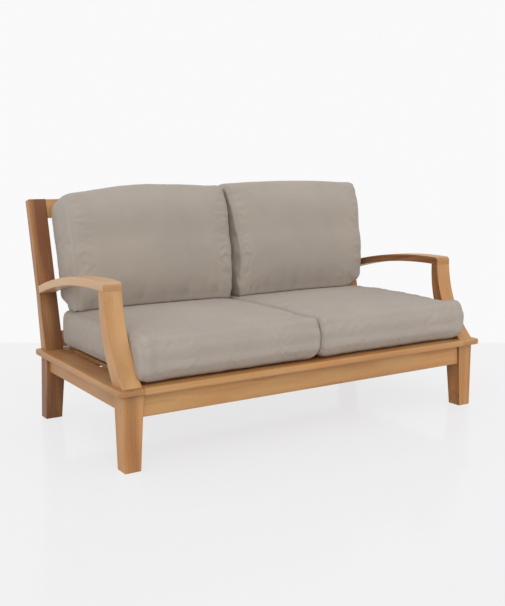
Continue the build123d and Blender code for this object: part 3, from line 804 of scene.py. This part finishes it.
def seat_gathers(cushion, start, fold, out):
    """The seat cushion's boxed edges, its folds, and the corner that swells past the arm post.

    Gives each place's height along its normal, and its move in the cushion's own axes.
    """
    low, front = cushion.low[2], cushion.low[1]
    half = cushion.half[0]
    width, depth, height = start.T
    outward = (width - cushion.middle[0]) * cushion.side
    foot_folds = bell(depth - front, 0.06) * bell(height - low, 0.05)
    past = smooth_step(half - 0.05, half - 0.01, outward)
    past *= 1 - smooth_step(front + 0.03, front + 0.10, depth)
    past *= (smooth_step(low, low + 0.03, height)
             * (1 - smooth_step(low + 0.15, low + 0.18, height)))
    above = smooth_step(low + 0.02, low + 0.08, height)
    front_edge = edge(out, 1, 2) * (depth < cushion.middle[1])
    boxed = SEAT_CORNER * edge(out, 0, 1) * smooth_step(low, low + 0.025, height)
    boxed += (SEAT_FRONT_EDGE * front_edge + SEAT_SIDE_EDGE * edge(out, 0, 2)) * above
    boxed += SEAT_FRONT_FOOT * front_edge * (1 - above)
    # The foot's rim stays a little above the wood
    rim = numpy.maximum(0.6 * smooth_step(half - 0.04, half - 0.005, numpy.abs(outward)),
                        1 - smooth_step(front + 0.01, front + 0.07, depth))
    moves = numpy.zeros(start.shape)
    moves[:, 2] = SEAT_RIM_LIFT * rim * (1 - smooth_step(low, low + 0.08, height))
    shaped = SEAT_FOLDS * foot_folds * fold + PAST_THE_POST * past
    return shaped + numpy.minimum(boxed, SEAT_EDGE_CAP), moves


def back_gathers(cushion, start, fold, out):
    """The back cushion's fuller head and boxed edges, and the folds where its foot is gathered.

    Gives each place's height along its normal, and its move in the cushion's own axes.
    """
    foot, head, middle = cushion.low[1], cushion.high[1], cushion.middle[1]
    half = cushion.half[0]
    width, up, out_of_face = start.T
    inward = (cushion.middle[0] - width) * cushion.side
    face = smooth_step(cushion.middle[2] - 0.02, cushion.high[2] - 0.02, out_of_face)
    depth = (out_of_face - cushion.low[2]) / (cushion.high[2] - cushion.low[2])
    foot_folds = bell(up - foot, 0.075)
    # The left cushion's outer corner is worn round
    corner = numpy.where((inward < 0) & (cushion.side < 0), 0.1, 1.0)
    boxed = numpy.clip(edge(out, 0, 1) * corner + 0.5 * edge(out, 1, 2), 0, 1.2)
    boxed *= BACK_EDGE * smooth_step(middle, middle + 0.1, up)
    boxed += BACK_REAR_EDGE * edge(out, 0, 2) * (1 - smooth_step(0.25, 0.5, depth))
    boxed += (BACK_INNER_EDGE * edge(out, 0, 2) * smooth_step(0.45, 0.7, depth)
              * smooth_step(0, 0.1, inward))
    moves = numpy.zeros(start.shape)
    moves[:, 2] = HEAD_FORWARD * depth * smooth_step(head - 0.25, head - 0.03, up)
    if cushion.side > 0:
        # It leans away from its neighbour, and leaves a dark wedge between the two
        tuck = smooth_step(half - 0.09, half - 0.01, inward) * depth
        moves[:, 0] = INNER_TUCK * tuck * (1 - 0.7 * smooth_step(foot + 0.1, head, up))
        high = smooth_step(middle, head - 0.05, up)
        moves[:, 0] += OUTER_REACH * smooth_step(half - 0.08, half, -inward) * high
        # Its outer foot stands clear of the seat
        moves[:, 1] = OUTER_FOOT_LIFT * smooth_step(half - 0.14, half - 0.02, -inward)
        moves[:, 1] *= 1 - smooth_step(foot, foot + 0.14, up)
    else:
        # Its head slumps at the outer corner
        slump = smooth_step(0.0, 0.34, -inward) * smooth_step(middle - 0.05, head, up)
        moves[:, 1] = -OUTER_SLUMP * slump
    fuller = HEAD_FULLER[cushion.side] * smooth_step(head - 0.10, head, up)
    return BACK_FOLDS * foot_folds * face * fold + fuller + boxed, moves


def make_cushions(names, level, look, gathers, fill, limits_of, neighbours_of, tilt):
    """Models a pair of like cushions, left and right, from shell to cover."""
    pair = [Cushion(name, side, level, look) for side, name in zip((-1, 1), names)]
    for cushion in pair:
        cushion.remesh()
    for cushion in pair:
        cushion.fill()
    step_through(look.steps)
    for cushion in pair:
        cushion.settle()
    bpy.context.scene.frame_set(1)
    material = woven_cover(names[0].split("_", 1)[1] + "_cloth", look, tilt)
    for cushion in pair:
        cushion.sew(gathers)
        cushion.finish(neighbours_of(cushion), limits_of(cushion), material, fill)


class LOVESEAT_OT_wood(bpy.types.Operator):
    """Finish every wooden piece of the frame in oiled teak"""

    bl_idname = "loveseat.wood"
    bl_label = "Oil the wood"

    def execute(self, context):
        look = context.scene.loveseat_wood
        for number, (name, (along, lean)) in enumerate(sorted(GRAIN.items())):
            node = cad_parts[name]
            # A board's tone, with painted shade and a painted highlight on some boards
            tone_and_painted_light = BOARD_TONES_AND_PAINTED_LIGHT.get(name, 0.05 * math.sin(number * 2.4))
            wood = teak(f"teak_{name}", along, lean, number * 0.618, tone_and_painted_light, look,
                        SAPWOOD.get(name), LEFT_FACE_SHADE.get(name, 0.0), SUN_HIGHLIGHT.get(name, 0.0))
            assign(node, wood)
        return {"FINISHED"}


class LOVESEAT_OT_fastenings(bpy.types.Operator):
    """Finish the dowels, plugs, bolts and screws"""

    bl_idname = "loveseat.fastenings"
    bl_label = "Finish the fastenings"

    def execute(self, context):
        look = context.scene.loveseat_wood
        wooden = ("deck_dowels", "upright_dowels", "arm_dowels", "bolt_plugs")
        for number, name in enumerate(wooden):
            along = "X" if name == "bolt_plugs" else "Z"
            assign(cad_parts[name], teak(f"teak_{name}", along, 0, 3.3 + number, -0.12, look))
        steel = brushed_steel()
        for name in ("frame_bolts", "slat_screws"):
            assign(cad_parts[name], steel)
        return {"FINISHED"}


class LOVESEAT_OT_seat_cushions(bpy.types.Operator):
    """Sew and fill the two seat cushions"""

    bl_idname = "loveseat.seat_cushions"
    bl_label = "Make the seat cushions"

    def execute(self, context):
        look = context.scene.loveseat_cushions

        def neighbours_of(cushion):
            side, slats = ("left", range(1, 8)) if cushion.side < 0 else ("right", range(6, 13))
            names = [f"{side}_arm_post", f"{side}_deck_board", "front_deck_board",
                     "rear_deck_board", "lower_back_rail", *(f"seat_slat_{n}" for n in slats)]
            return [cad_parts[name] for name in names]

        def limits_of(cushion):
            # Each rests on the slats, and the two meet in the middle
            return [(2, SEAT_UNDERSIDE, -1), (0, cushion.side * CLEARANCE, -cushion.side)]

        make_cushions(("left_seat_cushion", "right_seat_cushion"), FLAT_LEVEL, look, seat_gathers,
                      0.8, limits_of, neighbours_of, 0)
        return {"FINISHED"}


class LOVESEAT_OT_back_cushions(bpy.types.Operator):
    """Sew and fill the two back cushions"""

    bl_idname = "loveseat.back_cushions"
    bl_label = "Make the back cushions"

    def execute(self, context):
        look = context.scene.loveseat_cushions

        def neighbours_of(cushion):
            side, slats = ("left", range(1, 7)) if cushion.side < 0 else ("right", range(5, 11))
            names = [f"{side}_armrest", f"{side}_back_stile", "crest_rail", "lower_back_rail",
                     *(f"back_slat_{n}" for n in slats)]
            boards = [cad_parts[name] for name in names]
            return [bpy.data.objects[f"{side}_seat_cover"], *boards]

        def limits_of(cushion):
            return [(0, cushion.side * CLEARANCE, -cushion.side)]

        make_cushions(("left_back_cushion", "right_back_cushion"), RAKED_LEVEL, look, back_gathers,
                      0.7, limits_of, neighbours_of, -BACK_RAKE)
        return {"FINISHED"}


class LOVESEAT_OT_stage(bpy.types.Operator):
    """Set the floor, the soft light and the camera"""

    bl_idname = "loveseat.stage"
    bl_label = "Set the stage"

    def execute(self, context):
        look = context.scene.loveseat_stage
        self.floor(context, look)
        self.world(context, look)
        self.lamp(context, "key", look.key, 60, (50, 0, -34), (1, 0.96, 0.91))
        self.lamp(context, "window", look.window, 100, (78, 0, -98), (0.66, 0.83, 1))
        self.camera(context, look)
        context.scene.view_settings.view_transform = "Standard"
        return {"FINISHED"}

    def floor(self, context, look):
        """A wide flat floor that the camera sees as a paler backdrop beyond a line, and that
        mirrors the feet faintly.
        """
        sheet = bmesh.new()
        bmesh.ops.create_circle(sheet, cap_ends=True, segments=96, radius=60)
        mesh = bpy.data.meshes.new("studio_floor")
        sheet.to_mesh(mesh)
        sheet.free()
        floor = bpy.data.objects.new("studio_floor", mesh)
        context.scene.collection.objects.link(floor)
        material, nodes, links, shader = new_material("studio_floor")
        place = nodes.new("ShaderNodeTexCoord")
        grain = set_inputs(nodes.new("ShaderNodeTexNoise"), Scale=90.0, Detail=2.0)
        links.new(place.outputs["Object"], grain.inputs["Vector"])
        tint = ramp(nodes, [(0.3, [0.995 * c for c in look.floor]), (0.7, look.floor)])
        links.new(grain.outputs["Fac"], tint.inputs["Fac"])
        links.new(tint.outputs["Color"], shader.inputs["Base Color"])
        set_inputs(shader, Roughness=0.12, Specular_IOR_Level=0.5)
        # Half a metre behind the sofa's far corner, the camera sees the floor as the paler
        # backdrop
        turn = math.radians(CAMERA_TURN)
        away = nodes.new("ShaderNodeVectorMath")
        away.operation = "DOT_PRODUCT"
        away.inputs[1].default_value = (math.sin(turn), math.cos(turn), 0)
        links.new(place.outputs["Object"], away.inputs[0])
        upturned = set_inputs(nodes.new("ShaderNodeMapRange"), From_Min=BACKDROP_BEGINS,
                              From_Max=BACKDROP_FULL)
        links.new(away.outputs["Value"], upturned.inputs["Value"])
        # Seen by the camera, it is paler than the light makes it, so that its shadow stays soft
        pale = set_inputs(nodes.new("ShaderNodeEmission"), Color=BACKDROP)
        lifted = set_inputs(nodes.new("ShaderNodeEmission"), Color=FLOOR_SEEN)
        path = nodes.new("ShaderNodeLightPath")
        near = nodes.new("ShaderNodeMixShader")
        mostly = combine(nodes, links, "MULTIPLY", path.outputs["Is Camera Ray"], 0.8)
        links.new(mostly, near.inputs[0])
        links.new(shader.outputs[0], near.inputs[1])
        links.new(lifted.outputs[0], near.inputs[2])
        far = nodes.new("ShaderNodeMixShader")
        seen = combine(nodes, links, "MULTIPLY", path.outputs["Is Camera Ray"],
                       upturned.outputs["Result"])
        links.new(seen, far.inputs[0])
        links.new(near.outputs[0], far.inputs[1])
        links.new(pale.outputs[0], far.inputs[2])
        end = next(node for node in nodes if node.type == "OUTPUT_MATERIAL")
        links.new(far.outputs[0], end.inputs["Surface"])
        mesh.materials.append(material)

    def world(self, context, look):
        """Even light from all round, with the backdrop's colour where it is seen or mirrored."""
        world = bpy.data.worlds.new("studio_light")
        context.scene.world = world
        world.use_nodes = True
        nodes, links = world.node_tree.nodes, world.node_tree.links
        nodes.clear()
        path = nodes.new("ShaderNodeLightPath")
        seen = combine(nodes, links, "MAXIMUM", path.outputs["Is Camera Ray"],
                       path.outputs["Is Glossy Ray"])
        seen = combine(nodes, links, "MAXIMUM", seen, path.outputs["Is Transmission Ray"])
        light = set_inputs(nodes.new("ShaderNodeBackground"), Color=(0.97, 0.985, 1, 1),
                           Strength=look.sky)
        backdrop = set_inputs(nodes.new("ShaderNodeBackground"), Color=BACKDROP, Strength=1.0)
        choice = nodes.new("ShaderNodeMixShader")
        links.new(seen, choice.inputs[0])
        links.new(light.outputs[0], choice.inputs[1])
        links.new(backdrop.outputs[0], choice.inputs[2])
        end = nodes.new("ShaderNodeOutputWorld")
        links.new(choice.outputs[0], end.inputs["Surface"])

    def lamp(self, context, name, level, spread, degrees, colour):
        """A broad soft lamp, whose spread and turn are in degrees."""
        light = bpy.data.lights.new(name, "SUN")
        light.energy = level
        light.color = colour
        light.angle = math.radians(spread)
        lamp = bpy.data.objects.new(name, light)
        lamp.rotation_euler = [math.radians(d) for d in degrees]
        context.scene.collection.objects.link(lamp)

    def camera(self, context, look):
        """The camera, where the photo was taken from."""
        data = bpy.data.cameras.new("photo_view")
        data.lens = look.lens
        data.sensor_width = 36
        data.clip_end = 200
        camera = bpy.data.objects.new("photo_view", data)
        camera.location = CAMERA_PLACE
        camera.rotation_euler = (math.radians(CAMERA_TILT), 0, math.radians(-CAMERA_TURN))
        context.scene.collection.objects.link(camera)
        context.scene.camera = camera


class LOVESEAT_PT_panel(bpy.types.Panel):
    """Lists the steps that finish the loveseat"""

    bl_idname = "LOVESEAT_PT_panel"
    bl_label = "Patio Loveseat"
    bl_space_type = "VIEW_3D"
    bl_region_type = "UI"
    bl_category = "Loveseat"

    def draw(self, context):
        scene = context.scene
        for title, values, steps in (
            ("Wood", scene.loveseat_wood, ("loveseat.wood", "loveseat.fastenings")),
            ("Cushions", scene.loveseat_cushions,
             ("loveseat.seat_cushions", "loveseat.back_cushions")),
            ("Stage", scene.loveseat_stage, ("loveseat.stage",)),
        ):
            box = self.layout.box()
            box.label(text=title)
            # All of the group's own values
            for key in values.bl_rna.properties.keys():
                if key not in ("rna_type", "name"):
                    box.prop(values, key)
            for step in steps:
                box.operator(step)


CLASSES = (
    LoveseatWood, LoveseatCushions, LoveseatStage,
    LOVESEAT_OT_wood, LOVESEAT_OT_fastenings, LOVESEAT_OT_seat_cushions, LOVESEAT_OT_back_cushions,
    LOVESEAT_OT_stage, LOVESEAT_PT_panel,
)


def register():
    for item in CLASSES:
        bpy.utils.register_class(item)
    bpy.types.Scene.loveseat_wood = PointerProperty(type=LoveseatWood)
    bpy.types.Scene.loveseat_cushions = PointerProperty(type=LoveseatCushions)
    bpy.types.Scene.loveseat_stage = PointerProperty(type=LoveseatStage)


def unregister():
    del bpy.types.Scene.loveseat_stage
    del bpy.types.Scene.loveseat_cushions
    del bpy.types.Scene.loveseat_wood
    for item in reversed(CLASSES):
        bpy.utils.unregister_class(item)


def main():
    """Registers the add-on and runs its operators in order."""
    register()
    bpy.ops.loveseat.stage()
    bpy.ops.loveseat.wood()
    bpy.ops.loveseat.fastenings()
    bpy.ops.loveseat.seat_cushions()
    bpy.ops.loveseat.back_cushions()


if __name__ == "__main__":
    main()
